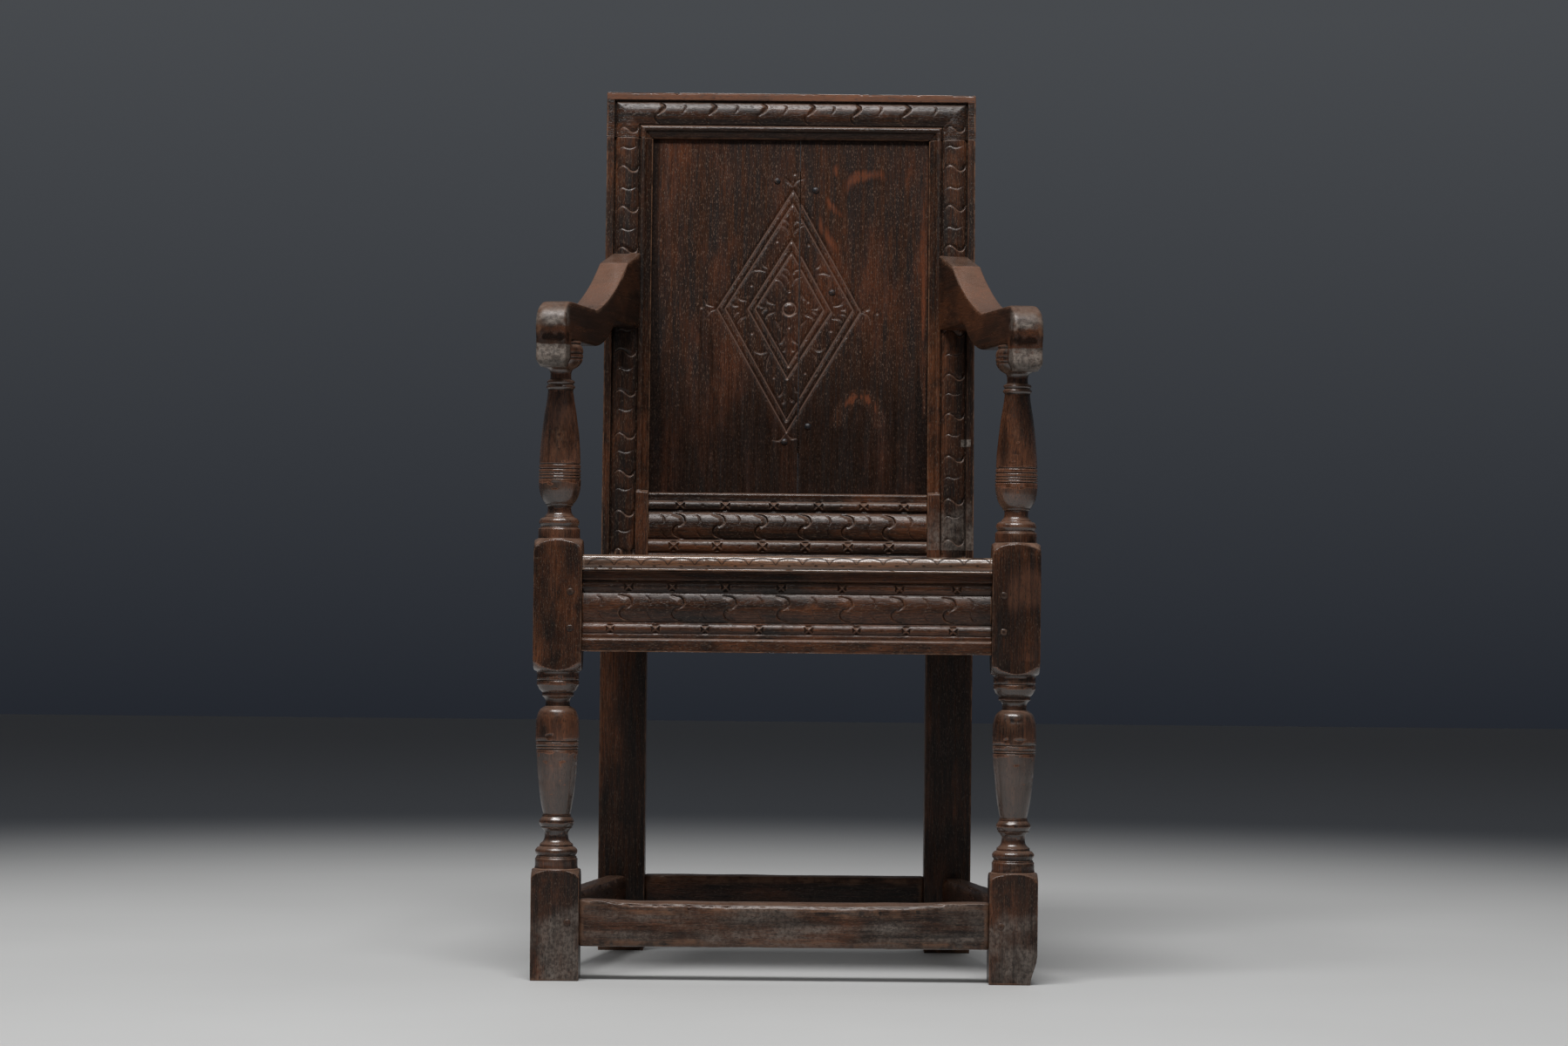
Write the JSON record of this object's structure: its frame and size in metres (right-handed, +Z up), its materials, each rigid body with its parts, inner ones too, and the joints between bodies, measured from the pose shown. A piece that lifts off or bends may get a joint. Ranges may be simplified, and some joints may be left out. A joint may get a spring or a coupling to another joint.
{
  "type": "wainscot chair",
  "caption": "Joined oak armchair with a raked panelled back, scrolled arms, turned front legs, plank seat and low stretchers, all held by pegged tenons.",
  "frame": {"origin": "on the floor, under the middle of the whole chair's box", "axes": "+Z up, -Y the way the sitter faces, +X to the right as seen from the front"},
  "size_m": [0.5846, 0.543, 1.0698],
  "materials": {
    "frame_oak": "dark waxed oak, worn along its edges",
    "panel_oak": "dark waxed oak with open pores",
    "seat_oak": "waxed oak worn by sitting",
    "peg_oak": "dark end grain",
    "hidden_oak": "dry unpolished oak",
    "wrought_iron": "dull dark iron"
  },
  "bodies": {
    "root": {"front_leg_left": "frame_oak", "front_leg_right": "frame_oak", "rear_post_left": "frame_oak", "rear_post_right": "frame_oak", "crest_rail": "frame_oak", "lower_back_rail": "frame_oak", "back_panel_left": "panel_oak", "back_panel_right": "panel_oak", "upper_panel_cleat": "hidden_oak", "lower_panel_cleat": "hidden_oak", "panel_nails": "wrought_iron", "seat_board_front": "seat_oak", "seat_board_rear": "seat_oak", "seat_board_pins": "peg_oak", "front_seat_rail": "frame_oak", "rear_seat_rail": "hidden_oak", "side_seat_rail_left": "frame_oak", "side_seat_rail_right": "frame_oak", "front_stretcher": "frame_oak", "rear_stretcher": "frame_oak", "side_stretcher_left": "frame_oak", "side_stretcher_right": "frame_oak", "arm_left": "frame_oak", "arm_right": "frame_oak", "arm_pegs": "peg_oak", "front_frame_pegs": "peg_oak", "side_frame_pegs": "peg_oak", "rear_frame_pegs": "peg_oak", "back_frame_pegs": "peg_oak"}
  },
  "joints": []
}
